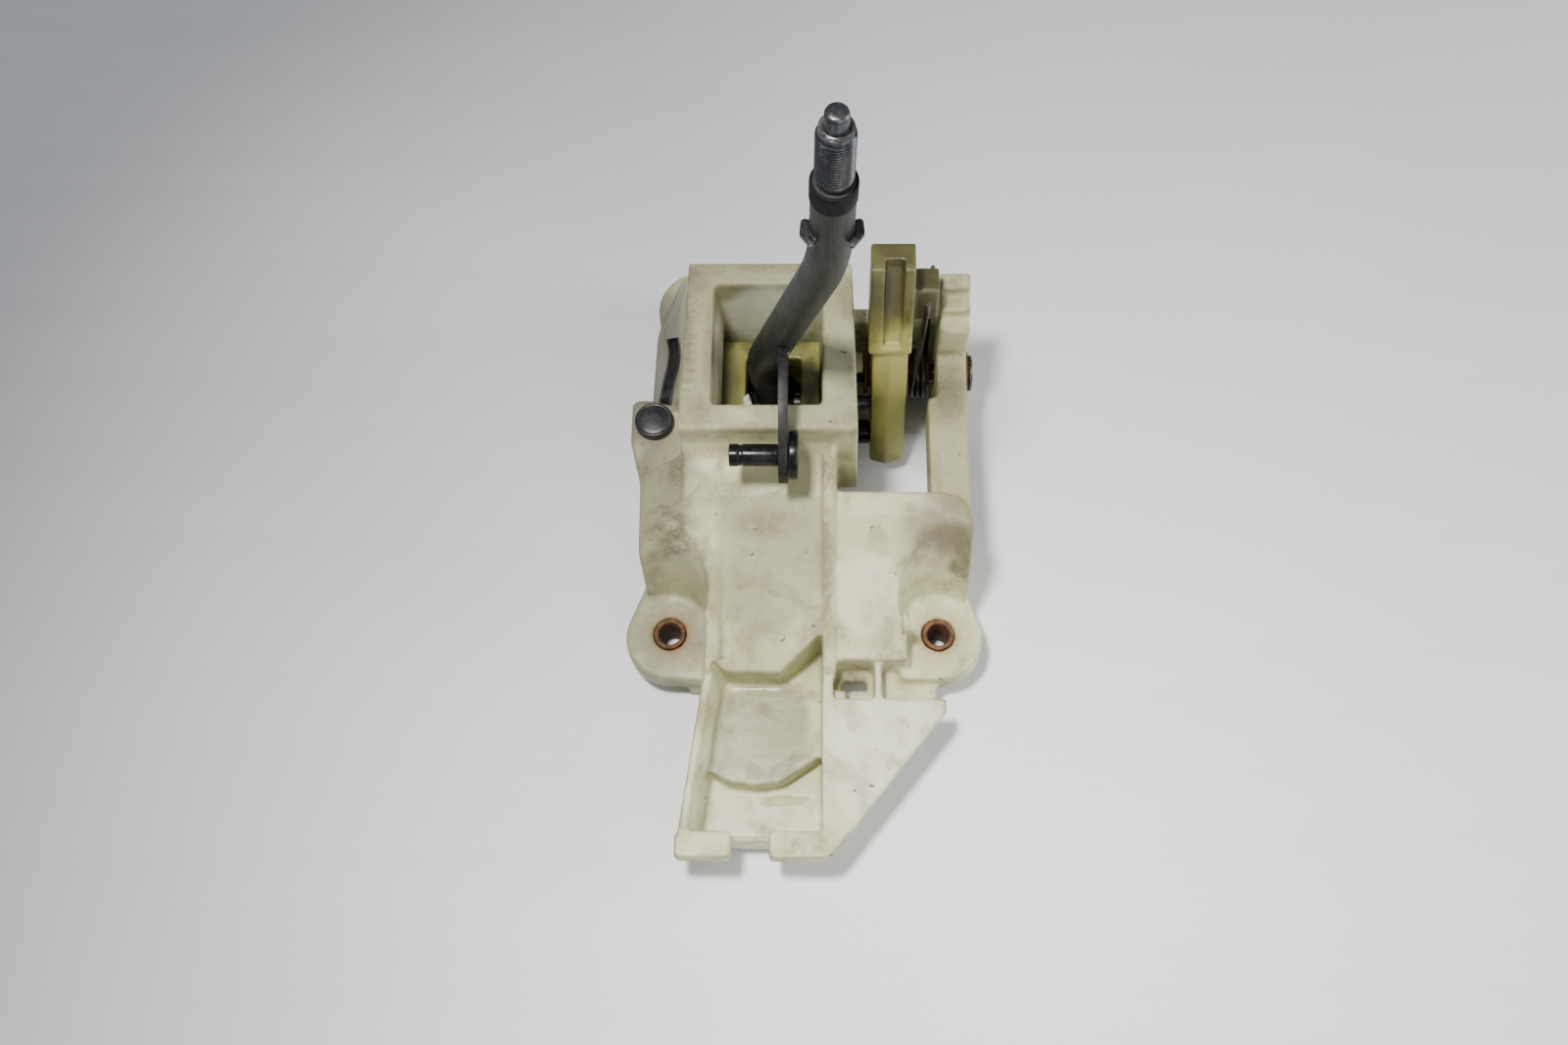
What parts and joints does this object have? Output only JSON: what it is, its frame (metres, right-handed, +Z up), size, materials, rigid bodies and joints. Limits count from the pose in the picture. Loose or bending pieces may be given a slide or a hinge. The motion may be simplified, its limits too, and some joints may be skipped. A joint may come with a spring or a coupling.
{
  "type": "manual gear shift lever assembly",
  "caption": "Floor-mounted manual gear lever in a moulded nylon housing, with a shift arm, a spring-centred select bell crank and seats for two cables.",
  "frame": {"origin": "middle of the assembly's outline on the surface it stands on", "axes": "+Z up along the lever; -Y towards the cable exits and the cable trough; +X towards the bell crank"},
  "size_m": [0.141, 0.255, 0.2621],
  "materials": {
    "cream_nylon": "moulded, satin, grimy",
    "green_nylon": "moulded, slightly translucent, greasy",
    "lever_steel": "drawn bar, dark satin",
    "plate_steel": "rolled plate, dark, worn bright at its edges",
    "black_oxide_steel": "black oxide, oily gloss",
    "rusty_steel": "bare steel gone rusty",
    "spring_steel": "oiled spring wire",
    "black_rubber": "matt",
    "black_nylon": "moulded, satin",
    "natural_nylon": "moulded, smooth"
  },
  "bodies": {
    "base": {"base_housing": "cream_nylon", "front_left_bushing": "rusty_steel", "front_right_bushing": "rusty_steel", "rear_left_bushing": "rusty_steel", "rear_right_bushing": "rusty_steel", "crank_bolt": "black_oxide_steel", "bolt_washer": "rusty_steel", "crank_sleeve": "plate_steel", "left_thrust_washer": "rusty_steel", "centring_spring": "spring_steel", "cable_tie_button": "black_nylon", "cable_tie_strap": "black_nylon", "left_pivot_pin": "plate_steel", "right_pivot_sleeve": "natural_nylon"},
    "yoke": {"trunnion_yoke": "green_nylon", "hub_cross_pin": "lever_steel"},
    "lever": {"lever_rod": "lever_steel", "lever_ring": "black_rubber", "boot_clip": "black_oxide_steel", "front_hub_bush": "natural_nylon", "rear_hub_bush": "natural_nylon", "shift_arm": "plate_steel", "shift_cable_pin": "black_oxide_steel", "shift_pin_disc": "black_oxide_steel"},
    "crank": {"bell_crank": "green_nylon", "select_cable_pin": "black_oxide_steel"}
  },
  "joints": [
    {"name": "shift", "type": "hinge", "parent": "base", "child": "yoke", "pos_m": [-0.0125, 0.0584, 0.032], "axis": [1, 0, 0], "range_deg": [-12, 12]},
    {"name": "select", "type": "hinge", "parent": "yoke", "child": "lever", "pos_m": [-0.0125, 0.0584, 0.032], "axis": [0, 1, 0], "range_deg": [-5.5, 5.5], "stiffness_Nm_per_rad": 2},
    {"name": "crank_turn", "type": "hinge", "parent": "base", "child": "crank", "pos_m": [0.034, 0.0715, 0.033], "axis": [1, 0, 0], "range_deg": [-17.4, 17.4], "deforming": ["centring_spring"]}
  ],
  "couplings": [
    {"joint": "crank_turn", "follows": "select", "ratio": 3.15}
  ]
}
